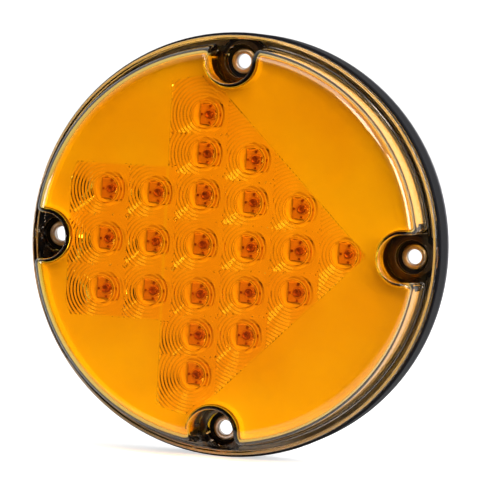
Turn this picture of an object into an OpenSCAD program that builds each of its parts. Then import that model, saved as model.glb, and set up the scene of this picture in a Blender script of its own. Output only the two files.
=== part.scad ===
// Round surface-mount direction lamp for a road vehicle. An amber lens covers
// light-emitting diodes set out as an arrow, on a black housing that four screws
// hold through metal eyelets. Millimetres.
//
// The mounting plane is Y = 0, the lens faces -Y and the arrow points to +X.
// Every piece is drawn lying on its back, with its height above the mounting
// plane along Z, and front() then turns it to face -Y.

/* [Overall] */
// Outside diameter of the housing
housing_d = 190.5; // [186:0.5:240]
// Distance from the mounting plane to the front face of the lens
depth = 38; // [36:0.5:50]

/* [Housing] */
// Height of the housing's front edge above the mounting plane
housing_h = 16.5; // [15:0.5:18]
// Thickness of the base
base_t = 2.5; // [2:0.1:3.5]
// Thickness of the outer wall
wall_t = 2.75; // [2:0.05:4]
// Width of the groove that takes the lens tongue
groove_w = 3; // [2.6:0.1:5]
// Thickness of the wall inside the groove
inner_wall_t = 2.5; // [1.5:0.1:4]
// Rounding of the front edge
edge_round = 0.8; // [0.3:0.1:1]
// Gap left above the inner wall
inner_wall_gap = 0.2; // [0.1:0.1:1]

/* [Gaskets and seals] */
// Thickness of the foam gasket behind the housing
gasket_t = 3; // [1.5:0.5:4]
// Radial width of the foam gasket
gasket_w = 25.25; // [22:0.25:32]
// Depth of the sealant bead under the lens tongue
bead_seal_t = 2; // [1:0.5:4]
// Thickness of the ring seal under each screw collar
collar_seal_t = 0.8; // [0.5:0.1:1.2]

/* [Lens] */
// Thickness of the front face
lens_t = 3; // [2:0.1:4]
// Thickness of the side wall and of the screw pockets' walls
lens_wall_t = 2.5; // [1.5:0.1:3]
// Distance that the flange stands back from the housing's edge
flange_step = 1.25; // [0.5:0.05:2]
// Thickness of the flange
flange_t = 2.2; // [1.5:0.1:3]
// Width of the raised bead around the flange
bead_w = 1.6; // [1:0.1:2]
// Height of that bead above the flange
bead_h = 1.8; // [0.5:0.1:3]
// Width of the flange from its edge to the side wall
flange_w = 3.5; // [3:0.1:6]
// Draft of the side wall in degrees
draft = 9.2; // [3:0.1:12]
// Radius of the rounded shoulder
shoulder_r = 7; // [4:0.5:9]
// Width of the tongue that stands in the housing's groove
tongue_w = 2; // [1.2:0.1:2.4]

/* [Screw points] */
// Distance from the housing's edge to each screw's centre
screw_edge = 12.7; // [12.7:0.1:15]
// Number of screws
screw_count = 4; // [4:1:4]
// Radius of the U-shaped pocket in the lens
pocket_r = 10.5; // [9.8:0.1:13]
// Radius of the hole in the pocket's floor
collar_r = 7.6; // [6.5:0.1:7.8]
// Wall of the collar below that hole
collar_t = 1.8; // [1.2:0.1:2]
// Height of the seat that each eyelet and collar rests on
seat_h = 12.2; // [11:0.1:13]
// Thickness of the housing under the eyelet
seat_t = 2.4; // [1.8:0.1:3]
// Radius of the relief behind the seat
relief_r = 6.5; // [6:0.1:7]
// Bore of the eyelet
eyelet_bore = 6.6; // [5.5:0.1:8]
// Wall of the eyelet's barrel
eyelet_wall_t = 0.6; // [0.4:0.1:0.8]
// Width of the rolled lip outside the barrel
eyelet_lip_w = 1.75; // [1:0.05:1.9]
// Thickness of the rolled lip
eyelet_lip_t = 1; // [0.8:0.1:1.4]

/* [Light-emitting diodes] */
// Distance between the columns of diodes
led_pitch = 22.2; // [18:0.1:22.5]
// Distance from the first column to the lamp's centre
led_start = 54.8; // [50:0.1:56]
// Side of the diode's square body
led_side = 7.6; // [6:0.1:8]
// Height of the diode's body
led_body_h = 3; // [2:0.1:4]
// Radius of the diode's dome
led_dome_r = 2.4; // [1.8:0.1:2.9]
// Height of the whole diode above the board
led_h = 5; // [5:0.1:5.8]
// Distance from the diode's dome to the inside of the lens face
optic_gap = 6; // [6:0.1:9]

/* [Circuit board] */
// Thickness of the board
board_t = 1.6; // [1:0.1:2]
// Gap between the board's edge and the reflector's rim
board_gap = 1; // [0.5:0.1:3]
// Distance of the board screws from the centre along both axes
post_xy = 45; // [44:0.5:50]
// Radius of the posts under the board
post_r = 3.5; // [2.5:0.1:4.5]
// Diameter of the board screws
board_screw_d = 2.5; // [2:0.1:3.5]

/* [Reflector] */
// Thickness of the reflector's plate and rim
reflector_t = 1.2; // [0.8:0.1:1.8]
// Gap between the reflector's rim and the housing's inner wall
reflector_gap = 1; // [0.4:0.1:2]
// Radius of the hole around each diode
reflector_hole_r = 5.6; // [5.6:0.1:7]

/* [Connector] */
// Width of the socket's mouth
socket_w = 19; // [16:0.5:24]
// Height of the socket's mouth
socket_h = 11; // [10:0.5:14]
// Depth of the socket
socket_depth = 12; // [9:0.5:13]
// Thickness of the socket's walls
socket_t = 1.5; // [1:0.1:2]
// Thickness of the socket's flange
socket_flange_t = 1.4; // [1:0.1:1.8]
// Width of each terminal blade
blade_w = 2.8; // [2:0.1:4]
// Thickness of each terminal blade
blade_t = 0.8; // [0.5:0.1:1]

/* [Hidden] */
$fn = 96;
// Clearance between neighbouring moulded pieces
fit_gap = 0.2;
// How far a cutter runs past the face it cuts, and a boss into the floor it stands on
over = 1;
housing_r = housing_d / 2;
base_top = gasket_t + base_t;
groove_r = housing_r - wall_t;
inner_wall_r = groove_r - groove_w;
cavity_r = inner_wall_r - inner_wall_t;
flange_r = housing_r - flange_step;
flange_top = housing_h + flange_t;
bead_r = flange_r - bead_w;
body_r = flange_r - flange_w;
tongue_r = groove_r - (groove_w - tongue_w) / 2;
tongue_foot = base_top + bead_seal_t;
inner_top = depth - lens_t;
screw_r = housing_r - screw_edge;
collar_out_r = collar_r + collar_t;
boss_wall = 1.8;
boss_r = collar_out_r + boss_wall;
barrel_r = eyelet_bore / 2 + eyelet_wall_t;
relief_top = seat_h - seat_t;
board_top = inner_top - optic_gap - led_h;
board_foot = board_top - board_t;
reflector_h = board_top + led_body_h - reflector_t / 2;
reflector_top = reflector_h + reflector_t;
reflector_r = min(cavity_r, wall_r(reflector_top) - lens_wall_t + fit_gap) - reflector_gap;
pocket_gap = 0.8;
reflector_clear_r = pocket_r + lens_wall_t + pocket_gap;
board_r = reflector_r - reflector_t - board_gap;
// Heights of the diodes in each column, above and below the middle row
led_rows = [[22.5], [22], [22, 40.5, 58], [20, 39], [18.5], []];
led_places = [for (c = [0:len(led_rows) - 1]) each concat([[led_x(c), 0]],
              [for (y = led_rows[c]) each [[led_x(c), y], [led_x(c), -y]]])];
led_count = len(led_places);
// Radii of the optic's dome and of its outer step
optic_dome_r = 6.35;
optic_step_r = 7.9;
optic_rise = 0.9;
optic_steps = 5;
// Half height of the arrow's shaft and distance of its tail and head from the centre
arrow_shaft = 34.5;
arrow_tail = 71;
arrow_head = 26;
arrow_tip = 66.5;
arrow_field_t = 0.5;
arrow_field_r = screw_r - 6;
// Legs of a diode
leg_xy = 2.54;
leg_r = 0.3;
leg_hole_r = 0.4;
leg_reach = 1;
led_cut = 1.2;
// Screw heads on the board
screw_head_r = 2.8;
screw_head_t = 1.8;
screw_reach = 8;
screw_tip_gap = 1;
cross_l = 3.6;
cross_w = 0.8;
cross_t = 0.9;
// Socket between two columns of diodes, with its flange, snap lugs and terminals
socket_x = gap_x(2);
socket_lip = 3.5;
socket_seal_t = 0.6;
socket_mouth = gasket_t - socket_seal_t - socket_flange_t;
socket_back = socket_mouth + socket_depth;
lug_w = 5;
lug_t = 0.8;
lug_h = 1.5;
blade_pitch = 8;
blade_setback = 3;
blade_reach = 0.5;
// Width, length and height of the components on the back of the board
resistor_size = [6.3, 3.2, 0.6];
polarity_diode_size = [5, 3.6, 2.3];
surge_diode_size = [7, 5.9, 2.4];
regulator_size = [6.5, 6.1, 2.3];
regulator_tab = [5.2, 3, 0.5];
capacitor_foot = [8.3, 8.3, 1];
capacitor_r = 4;
capacitor_h = 5.4;
// Their distances from the middle row
resistor_y = 12;
diode_y = 30;
regulator_y = 33;
// Breather vent in the base
vent_y = -45;
vent_r = 2;
vent_cap_r = 4.5;
vent_cap_t = 1.2;

function led_name(i) = str("led_", i < 10 ? "0" : "", i);
function led_x(column) = column * led_pitch - led_start;
function gap_x(column) = led_x(column) + led_pitch / 2;
function arc(x, y, r, from, to, steps = 8) =
    [for (i = [0:steps]) let (a = from + (to - from) * i / steps) [x + r * cos(a), y + r * sin(a)]];
function wall_r(h) = body_r - (h - flange_top) * tan(draft);

// Turns a piece from its back to face -Y
module front() {
    rotate([90, 0, 0]) children();
}

module tube(r_in, r_out, from, to) {
    translate([0, 0, from]) linear_extrude(to - from) difference() {
        circle(r = r_out);
        circle(r = r_in);
    }
}

module disc(r, from, to) {
    translate([0, 0, from]) cylinder(r = r, h = to - from);
}

module block(size_x, size_y, from, to) {
    translate([-size_x / 2, -size_y / 2, from]) cube([size_x, size_y, to - from]);
}

module at_screws() {
    for (i = [0:screw_count - 1]) rotate(i * 360 / screw_count) translate([screw_r, 0, 0]) children();
}

module at_posts() {
    for (x = [-post_xy, post_xy], y = [-post_xy, post_xy]) translate([x, y, 0]) children();
}

module at_leds() {
    for (place = led_places) translate([place[0], place[1], 0]) children();
}

// U-shaped columns around the screws, open towards the rim
module pockets(r, from, to) {
    at_screws() {
        disc(r, from, to);
        translate([0, -r, from]) cube([screw_edge, 2 * r, to - from]);
    }
}

module pocket_outline(r) {
    at_screws() {
        circle(r = r);
        translate([0, -r]) square([screw_edge, 2 * r]);
    }
}

// Drafted side wall and rounded shoulder, down to the given height
function cup_outline(inset, foot, top, round_r) =
    let (turn = draft, centre_h = top - round_r,
         touch_h = centre_h + round_r * sin(turn),
         centre_r = wall_r(touch_h) - inset - round_r * cos(turn))
    concat([[0, foot], [wall_r(foot) - inset, foot]],
           arc(centre_r, centre_h, round_r, turn, 90),
           [[0, top]]);

module lens_form() {
    rotate_extrude() polygon(cup_outline(0, housing_h, depth, shoulder_r));
    tube(cavity_r, flange_r, housing_h, flange_top);
    tube(bead_r, flange_r, housing_h, flange_top + bead_h);
}

module arrow_field() {
    translate([0, 0, inner_top - arrow_field_t]) linear_extrude(arrow_field_t + lens_t / 2) difference() {
        intersection() {
            circle(r = arrow_field_r);
            polygon([[-arrow_tail, -arrow_shaft], [-arrow_head, -arrow_shaft],
                     [-arrow_head, -arrow_tip - arrow_head], [arrow_tip, 0],
                     [-arrow_head, arrow_tip + arrow_head], [-arrow_head, arrow_shaft],
                     [-arrow_tail, arrow_shaft]]);
        }
        pocket_outline(pocket_r);
    }
}

// Dome and one step of the ring lens in front of each diode
module bulls_eye() {
    foot = inner_top - arrow_field_t;
    rotate_extrude() polygon(concat([[0, inner_top + over], [0, foot - optic_rise]],
        [for (i = [1:optic_steps]) let (u = i / optic_steps)
            [optic_dome_r * u, foot - optic_rise * (1 - u * u)]],
        [[optic_dome_r, foot - optic_rise], [optic_step_r, foot], [optic_step_r, inner_top + over]]));
}

module lens() color("#f59a0c", 0.8) front() difference() {
    union() {
        difference() {
            lens_form();
            translate([0, 0, -over]) rotate_extrude()
                polygon(cup_outline(lens_wall_t, housing_h, inner_top + over, shoulder_r - lens_wall_t));
        }
        intersection() {
            rotate_extrude() polygon(cup_outline(0, housing_h, depth, shoulder_r));
            pockets(pocket_r + lens_wall_t, housing_h, depth);
        }
        difference() {
            tube(tongue_r - tongue_w, tongue_r, tongue_foot, housing_h + over);
            at_screws() disc(boss_r + fit_gap, tongue_foot - over, seat_h + fit_gap);
        }
        at_screws() disc(collar_out_r, seat_h, flange_top);
        arrow_field();
        at_leds() bulls_eye();
    }
    intersection() {
        pockets(pocket_r, flange_top, depth + over);
        disc(bead_r, flange_top, depth + over);
    }
    at_screws() disc(collar_r, seat_h - over, depth + over);
}

module lens_seal() color("#d8d4c8") front() difference() {
    tube(inner_wall_r, groove_r, base_top, tongue_foot);
    at_screws() disc(boss_r, base_top - over, tongue_foot + over);
}

module collar_seals() color("#3a3a3c") front() at_screws()
    tube(collar_r, collar_out_r, seat_h - collar_seal_t, seat_h);

module housing() color("#26272b") front() difference() {
    union() {
        disc(groove_r + wall_t / 2, gasket_t, base_top);
        rotate_extrude() polygon(concat(
            [[groove_r, gasket_t], [housing_r, gasket_t]],
            arc(housing_r - edge_round, housing_h - edge_round, edge_round, 0, 90, 4),
            [[groove_r, housing_h]]));
        tube(cavity_r, inner_wall_r, base_top - over, housing_h - inner_wall_gap);
        at_screws() disc(boss_r, base_top - over, seat_h);
        at_posts() disc(post_r, base_top - over, board_foot);
    }
    at_screws() {
        disc(relief_r, 0, relief_top);
        disc(barrel_r, 0, seat_h + over);
        tube(collar_r - fit_gap, collar_out_r + fit_gap, seat_h - collar_seal_t, housing_h);
        disc(collar_out_r + fit_gap, seat_h, housing_h);
    }
    at_posts() disc(board_screw_d / 2, board_foot - screw_reach, board_foot + over);
    translate([socket_x, 0, 0]) block(socket_w + 2 * (socket_t + fit_gap),
                                      socket_h + 2 * (socket_t + fit_gap), 0, base_top + over);
    translate([0, vent_y, 0]) disc(vent_r, 0, base_top + over);
}

module rear_gasket() color("#4a4a4d") front() difference() {
    tube(housing_r - gasket_w, housing_r, 0, gasket_t);
    at_screws() disc(relief_r, -over, gasket_t + over);
}

// Barrel through the seat with a rolled lip at each end
module eyelet(turn) color("#c9b3a6") front() rotate(turn) translate([screw_r, 0, 0]) {
    bore_r = eyelet_bore / 2;
    lip_r = eyelet_lip_t / 2;
    front_r = barrel_r + eyelet_lip_w - lip_r;
    back_r = barrel_r + eyelet_lip_w / 2 - lip_r / 2;
    rotate_extrude() polygon(concat(
        arc(back_r, relief_top - lip_r / 2, lip_r / 2, -90, 90, 6),
        [[barrel_r, relief_top], [barrel_r, seat_h]],
        arc(front_r, seat_h + lip_r, lip_r, -90, 90, 8),
        arc(bore_r + lip_r, seat_h + lip_r, lip_r, 90, 180, 5),
        arc(bore_r + lip_r / 2, relief_top - lip_r / 2, lip_r / 2, 180, 270, 5)));
}

// White tray that hides the board, with a hole for each diode
module reflector_plate() color("#eceae4") front() {
    difference() {
        union() {
            disc(reflector_r, reflector_h, reflector_top);
            tube(reflector_r - reflector_t, reflector_r, base_top, reflector_top);
        }
        pockets(reflector_clear_r, 0, depth);
        at_leds() disc(reflector_hole_r, reflector_h - over, depth);
    }
}

module circuit_board() color("#e9ebe6") front() translate([0, 0, board_foot]) linear_extrude(board_t)
    difference() {
        circle(r = board_r);
        pocket_outline(reflector_clear_r);
        at_posts() circle(r = board_screw_d / 2 + fit_gap);
        at_leds() for (x = [-leg_xy, leg_xy], y = [-leg_xy, leg_xy])
            translate([x, y]) circle(r = leg_hole_r);
        for (side = [-1, 1]) translate([socket_x + side * blade_pitch / 2, 0])
            square([blade_w + fit_gap, blade_t + fit_gap], center = true);
    }

module board_screws() color("#b9bcc0") front() at_posts() difference() {
    union() {
        disc(board_screw_d / 2, board_foot - screw_reach + screw_tip_gap, board_top + over);
        disc(screw_head_r, board_top, board_top + screw_head_t);
    }
    block(cross_w, cross_l, board_top + screw_head_t - cross_t, board_top + screw_head_t + over);
    block(cross_l, cross_w, board_top + screw_head_t - cross_t, board_top + screw_head_t + over);
}

// Square clear body with one cut corner, and a dome over the chip
module led(number) color("#f4cf86") front()
    translate([led_places[number - 1][0], led_places[number - 1][1], board_top]) {
        half = led_side / 2;
        linear_extrude(led_body_h) polygon([[-half, -half], [half, -half], [half, half - led_cut],
                                            [half - led_cut, half], [-half, half]]);
        translate([0, 0, led_h - led_dome_r]) sphere(r = led_dome_r);
    }

module led_leads() color("#c4c6c8") front() at_leds()
    for (x = [-leg_xy, leg_xy], y = [-leg_xy, leg_xy])
        translate([x, y, 0]) disc(leg_r, board_foot - leg_reach, board_top);

// A component's block on the back of the board
module chip(x, y, size) {
    translate([x, y, 0]) block(size[0], size[1], board_foot - size[2], board_foot);
}

// Six chip resistors on the back of the board, one for each string of diodes
module resistors() color("#2b2b2e") front()
    for (column = [0, 1, 3], side = [-1, 1]) chip(gap_x(column), side * resistor_y, resistor_size);

module polarity_diode() color("#1f1f22") front()
    chip(gap_x(2), diode_y, polarity_diode_size);

module surge_diode() color("#1f1f22") front()
    chip(gap_x(2), -diode_y, surge_diode_size);

module regulator() color("#1f1f22") front() {
    chip(gap_x(3), -regulator_y, regulator_size);
    chip(gap_x(3), regulator_tab[1] + over - regulator_y, regulator_tab);
}

module smoothing_capacitor() color("#b4b7ba") front() {
    chip(gap_x(3), regulator_y, capacitor_foot);
    translate([gap_x(3), regulator_y, 0])
        disc(capacitor_r, board_foot - capacitor_h, board_foot - capacitor_foot[2] / 2);
}

module connector_socket() color("#1c1c1e") front() translate([socket_x, 0, 0]) difference() {
    union() {
        block(socket_w + 2 * socket_lip, socket_h + 2 * socket_lip,
              socket_mouth, socket_mouth + socket_flange_t);
        block(socket_w + 2 * socket_t, socket_h + 2 * socket_t, socket_mouth, socket_back + socket_t);
        block(socket_w + 2 * (socket_t + fit_gap + lug_t), lug_w, base_top, base_top + lug_h);
    }
    block(socket_w, socket_h, socket_mouth - over, socket_back);
    for (side = [-1, 1]) translate([side * blade_pitch / 2, 0, 0])
        block(blade_w, blade_t, socket_back - over, socket_back + socket_t + over);
}

module connector_seal() color("#6b3f2c") front() translate([socket_x, 0, 0]) difference() {
    block(socket_w + 2 * socket_lip, socket_h + 2 * socket_lip, gasket_t - socket_seal_t, gasket_t);
    block(socket_w + 2 * (socket_t + fit_gap), socket_h + 2 * (socket_t + fit_gap), 0, gasket_t + over);
}

module terminal(side) color("#c9c6bd") front()
    translate([socket_x + side * blade_pitch / 2, 0, 0])
        block(blade_w, blade_t, socket_mouth + blade_setback, board_top + blade_reach);

module breather_vent() color("#17171a") front() translate([0, vent_y, 0]) {
    disc(vent_cap_r, gasket_t - vent_cap_t, gasket_t);
    disc(vent_r, gasket_t - vent_cap_t / 2, base_top);
}

lens();
lens_seal();
collar_seals();
housing();
rear_gasket();
eyelet(0);  // eyelet_right
eyelet(90);  // eyelet_top
eyelet(180);  // eyelet_left
eyelet(270);  // eyelet_bottom
reflector_plate();
circuit_board();
board_screws();
for (i = [1:led_count]) led(i);
led_leads();
resistors();
polarity_diode();
surge_diode();
regulator();
smoothing_capacitor();
connector_socket();
connector_seal();
terminal(-1);  // terminal_supply
terminal(1);  // terminal_ground
breather_vent();
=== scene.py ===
from math import asin, atan2, cos, hypot, pi, radians, sin, sqrt, tan

import bmesh
import bpy
from bpy.props import FloatProperty, FloatVectorProperty, IntProperty, PointerProperty
from mathutils import Matrix, Vector
from mathutils.geometry import delaunay_2d_cdt


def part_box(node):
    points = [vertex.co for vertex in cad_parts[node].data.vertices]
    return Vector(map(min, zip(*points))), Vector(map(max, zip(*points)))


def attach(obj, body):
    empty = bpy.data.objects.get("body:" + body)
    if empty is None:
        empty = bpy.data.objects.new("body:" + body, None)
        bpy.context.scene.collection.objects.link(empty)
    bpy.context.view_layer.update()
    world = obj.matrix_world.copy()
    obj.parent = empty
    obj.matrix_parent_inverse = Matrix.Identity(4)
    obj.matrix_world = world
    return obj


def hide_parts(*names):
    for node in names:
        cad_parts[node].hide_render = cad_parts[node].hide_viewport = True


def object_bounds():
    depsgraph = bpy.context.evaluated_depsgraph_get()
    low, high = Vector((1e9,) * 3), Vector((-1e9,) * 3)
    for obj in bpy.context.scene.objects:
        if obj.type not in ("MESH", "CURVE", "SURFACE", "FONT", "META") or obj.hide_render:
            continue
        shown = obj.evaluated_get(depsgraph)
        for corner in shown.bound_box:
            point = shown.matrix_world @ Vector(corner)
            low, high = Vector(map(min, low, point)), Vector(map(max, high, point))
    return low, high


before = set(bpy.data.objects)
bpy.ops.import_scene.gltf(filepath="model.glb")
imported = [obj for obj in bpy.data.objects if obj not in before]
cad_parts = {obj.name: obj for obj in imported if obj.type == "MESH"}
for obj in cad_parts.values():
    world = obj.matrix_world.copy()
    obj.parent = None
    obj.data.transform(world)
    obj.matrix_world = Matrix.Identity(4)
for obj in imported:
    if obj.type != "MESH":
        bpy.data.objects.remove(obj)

bl_info = {
    "name": "Arrow Direction Lamp",
    "version": (1, 0, 0),
    "blender": (4, 5, 0),
    "location": "3D View > Sidebar > Lamp",
    "description": "Moulded lens, diodes, eyelets and finishes of a round arrow direction lamp",
    "category": "Object",
}

MM = 0.001
CAD_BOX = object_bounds()
LED_NODES = sorted(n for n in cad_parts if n.startswith("led_") and n[4:].isdigit())
EYELET_NODES = ["eyelet_right", "eyelet_top", "eyelet_left", "eyelet_bottom"]


def middle(node):
    """Centre of a CAD node's box, in millimetres on the lamp's face."""
    low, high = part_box(node)
    return (low.x + high.x) / 2 / MM, (low.z + high.z) / 2 / MM


def height(node, front=True):
    """Height of a CAD node's front or back above the mounting plane, in millimetres."""
    low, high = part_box(node)
    return -(low.y if front else high.y) / MM


# ---------------------------------------------------------------- sizes and colours

def length(name, description, default):
    """A size property in metres."""
    return FloatProperty(name=name, description=description, default=default, min=0.0,
                         unit="LENGTH", precision=5)


def angle(name, description, default):
    """An angle property, its default given in degrees."""
    return FloatProperty(name=name, description=description, default=radians(default),
                         subtype="ANGLE")


def number(name, description, default):
    """A property without a unit that Blender knows."""
    return FloatProperty(name=name, description=description, default=default)


def colour(name, description, default):
    """A linear colour property."""
    return FloatVectorProperty(name=name, description=description, default=default,
                               subtype="COLOR", size=3, min=0.0, max=1.0)


class LampLensSettings(bpy.types.PropertyGroup):
    """Sizes and colour of the moulded lens"""
    face: length("Face height", "Front face above the mounting plane", height("lens") * MM)
    wall: length("Wall", "Thickness of the side wall", 0.0025)
    face_wall: length("Face thickness", "Thickness of the front face", 0.003)
    body: length("Body radius", "Radius of the side wall where it meets the flange", 0.0905)
    rim: length("Flange radius", "Outer radius of the flange", 0.094)
    flange: length("Flange height", "Front of the flange above the mounting plane", 0.0187)
    foot: length("Foot height", "Back of the flange, on its bed of sealant", 0.0169)
    pocket_wall: length("Pocket wall", "Thickness of the pocket walls", 0.0014)
    seat: length("Collar height", "Back of the screw collars, just clear of their seals", 0.01225)
    draft: angle("Draft", "Lean of the side wall", 9.2)
    shoulder: length("Shoulder radius", "Rounding between the face and the side wall", 0.007)
    pocket: length("Pocket radius", "Radius of the U-shaped screw pockets", 0.0105)
    lip: length("Pocket lip", "Rounding of the pocket's edge on the face", 0.001)
    mouth: length("Pocket mouth", "Rounding of the pocket's corners at the rim", 0.002)
    hole: length("Screw hole", "Radius of the hole in a pocket's floor", 0.0076)
    collar: length("Collar radius", "Outer radius of the collar under a pocket", 0.0094)
    dome: length("Dome radius", "Radius of the plain dome in front of a diode", 0.0056)
    dome_height: length("Dome height", "Height of that dome", 0.0005)
    groove: length("Groove width", "Width of the double line around the dome", 0.00075)
    pitch: length("Ring pitch", "Distance between two optic rings", 0.00157)
    riser: length("Riser width", "Width of the steep side of a ring", 0.0006)
    ring_height: length("Ring height", "Greatest height of a ring", 0.00032)
    focus: length("Ring focus", "Distance that sets how steep the rings are", 0.034)
    tint: colour("Tint", "Colour of light that has passed one wall", (0.98, 0.585, 0.02))
    deep: colour("Deep tint", "The same through the thicker arrow", (0.96, 0.4, 0.03))


class LampDiodeSettings(bpy.types.PropertyGroup):
    """Sizes and colours of the diodes"""
    side: length("Body side", "Side of the square body", 0.0076)
    body: length("Body height", "Height of the body above the board", 0.003)
    cut: length("Cut corner", "Length of the cut corner", 0.0012)
    dome: length("Dome radius", "Radius of the dome over the chip", 0.0024)
    tab: length("Tab size", "Size of the four metal tabs", 0.0009)
    tab_place: length("Tab distance", "Distance of a tab from the centre", 0.0031)
    epoxy: colour("Epoxy", "Colour of the body", (0.8, 0.56, 0.42))
    metal: colour("Frame", "Colour of the metal frame", (0.6, 0.27, 0.17))


class LampReflectorSettings(bpy.types.PropertyGroup):
    """Sizes of the white reflector"""
    skin: length("Thickness", "Thickness of the plate", 0.0012)
    edge: length("Edge radius", "Outer radius of the reflector", 0.0857)
    rise: length("Rim height", "Front of the raised rim above the mounting plane", 0.0312)
    notch: length("Pocket clearance", "Radius of the notches around the pockets", 0.0126)
    dish: length("Dish radius", "Radius of the dish around a diode", 0.0062)
    gap: length("Diode gap", "Gap between a dish and the diode's body", 0.00015)


class LampEyeletSettings(bpy.types.PropertyGroup):
    """Sizes and colour of the eyelets"""
    bore: length("Bore radius", "Radius of the screw's way through", 0.0033)
    barrel: length("Barrel radius", "Outer radius of the barrel", 0.0039)
    flange: length("Lip radius", "Outer radius of the rolled lip", 0.00565)
    sides: IntProperty(name="Sides", description="Faces around an eyelet", default=72, min=16)
    metal: colour("Metal", "Colour of the plated metal", (0.92, 0.79, 0.68))


class LampStageSettings(bpy.types.PropertyGroup):
    """Camera, floor and lights"""
    azimuth: angle("Azimuth", "Camera turn to the right of straight ahead", 15.725)
    elevation: angle("Elevation", "Camera height angle", 3.012)
    roll: angle("Roll", "Camera roll", 2.908)
    distance: length("Distance", "Camera distance from the lamp", 1.27)
    lens: number("Focal length", "Camera focal length in millimetres", 207.87)
    key: number("Key light", "Power of the light above, in watts", 7.5)
    front: number("Front light", "Power of the light ahead, in watts", 5.8)
    strip: number("Strip lights", "Power of the right strip, twice the left one's, in watts", 9.0)
    floor: colour("Floor", "Colour of the floor", (0.9, 0.9, 0.9))


# ---------------------------------------------------------------- outlines and shells

# Points on an eighth of a notched disc: half a notch, its corner and the rim
NOTCH_POINTS = 14
CORNER_POINTS = 5
RIM_POINTS = 30


def screw_circle():
    """Radius of the circle that the screws stand on, in millimetres."""
    return middle("eyelet_right")[0]


def along(points, count):
    """Points spaced evenly along a polyline, its first point in and its last left out."""
    total = [0.0]
    for a, b in zip(points, points[1:]):
        total.append(total[-1] + hypot(b[0] - a[0], b[1] - a[1]))
    result = []
    k = 0
    for i in range(count):
        want = total[-1] * i / count
        while total[k + 1] < want:
            k += 1
        span = total[k + 1] - total[k]
        t = (want - total[k]) / span if span else 0.0
        a, b = points[k], points[k + 1]
        result.append((a[0] + (b[0] - a[0]) * t, a[1] + (b[1] - a[1]) * t))
    return result


def arc(x, y, r, start, end, count):
    """Points on an arc, both ends in."""
    return [(x + r * cos(start + (end - start) * i / count),
             y + r * sin(start + (end - start) * i / count)) for i in range(count + 1)]


def notched(rim_r, notch_r, corner_r):
    """Outline of a disc with four U-shaped notches around the screws, the same number of
    points for every size so that two outlines can be joined."""
    s = screw_circle()
    a = rim_r - corner_r
    b = notch_r + corner_r
    x = sqrt(a * a - b * b)
    if x >= s:
        centre = (x, b)
        contact = pi / 2
        side = arc(s, 0, notch_r, pi, contact, 24) + [(x, notch_r)]
        turn = -pi / 2
    else:
        x = (a * a + s * s - b * b) / (2 * s)
        centre = (x, sqrt(a * a - x * x))
        contact = atan2(centre[1], x - s)
        side = arc(s, 0, notch_r, pi, contact, 24)
        turn = contact - pi
    rise = atan2(centre[1], centre[0])
    eighth = along(side, NOTCH_POINTS)
    eighth += along(arc(centre[0], centre[1], corner_r, turn, rise, 12), CORNER_POINTS)
    eighth += arc(0, 0, rim_r, rise, pi / 4, RIM_POINTS)[:-1]
    corner = (rim_r * cos(pi / 4), rim_r * sin(pi / 4))
    quarter = eighth + [corner] + [(q, p) for p, q in reversed(eighth[1:])]
    outline = []
    for c, d in ((1, 0), (0, 1), (-1, 0), (0, -1)):
        outline += [(x * c - y * d, x * d + y * c) for x, y in quarter]
    return outline


def ring(x, y, r, count=48):
    """A circle's points."""
    return [(x + r * cos(2 * pi * i / count), y + r * sin(2 * pi * i / count))
            for i in range(count)]


def within(point, loops):
    """Whether a point is inside an odd number of the loops."""
    x, y = point
    odd = False
    for loop in loops:
        for (x0, y0), (x1, y1) in zip(loop, loop[1:] + loop[:1]):
            if (y0 > y) != (y1 > y) and x < x0 + (y - y0) * (x1 - x0) / (y1 - y0):
                odd = not odd
    return odd


class Shell:
    """Gathers the faces of one closed piece. Points are x and y on the lamp's face and h above
    the mounting plane, in millimetres."""

    def __init__(self):
        self.points = []
        self.faces = []

    def loop(self, outline, h):
        """Adds an outline at one height."""
        first = len(self.points)
        self.points += [(x, y, h) for x, y in outline]
        return list(range(first, first + len(outline)))

    def notches(self, sizes):
        """Adds notched outlines. A size has its rim, notch and corner radius and its height."""
        return [self.loop(notched(*size[:3]), size[3]) for size in sizes]

    def stack(self, loops):
        """Joins each closed loop to the next, which has the same count."""
        for a, b in zip(loops, loops[1:]):
            for i in range(len(a)):
                j = (i + 1) % len(a)
                self.faces.append((a[i], a[j], b[j], b[i]))

    def fill(self, outlines, h):
        """Fills the flat area between outlines at one height."""
        flat = [Vector(p) for outline in outlines for p in outline]
        edges = []
        first = 0
        for outline in outlines:
            n = len(outline)
            edges += [(first + i, first + (i + 1) % n) for i in range(n)]
            first += n
        start = len(self.points)
        self.points += [(p.x, p.y, h) for p in flat]
        found, _, faces, origins, _, _ = delaunay_2d_cdt(flat, edges, [], 0, 1e-6)
        for face in faces:
            spot = sum((found[i] for i in face), Vector((0, 0))) / len(face)
            if within(spot, outlines):
                self.faces.append(tuple(start + origins[i][0] for i in face))

    def to_bmesh(self):
        """The shell with its doubles merged, in metres in the lamp's frame."""
        bm = bmesh.new()
        verts = [bm.verts.new((x * MM, -h * MM, y * MM)) for x, y, h in self.points]
        for face in self.faces:
            clean = [v for i, v in enumerate(face) if v != face[i - 1]]
            if len(set(clean)) == len(clean) > 2:
                bm.faces.new([verts[i] for i in clean])
        # Merges doubles, drops loose points and closes hairline gaps
        bmesh.ops.remove_doubles(bm, verts=bm.verts, dist=2e-6)
        bmesh.ops.delete(bm, geom=[v for v in bm.verts if not v.link_faces], context="VERTS")
        bmesh.ops.holes_fill(bm, edges=[e for e in bm.edges if len(e.link_faces) == 1], sides=4)
        return bm


def new_object(name, data):
    """A new object, linked to the scene."""
    thing = bpy.data.objects.new(name, data)
    bpy.context.scene.collection.objects.link(thing)
    return thing


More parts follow.
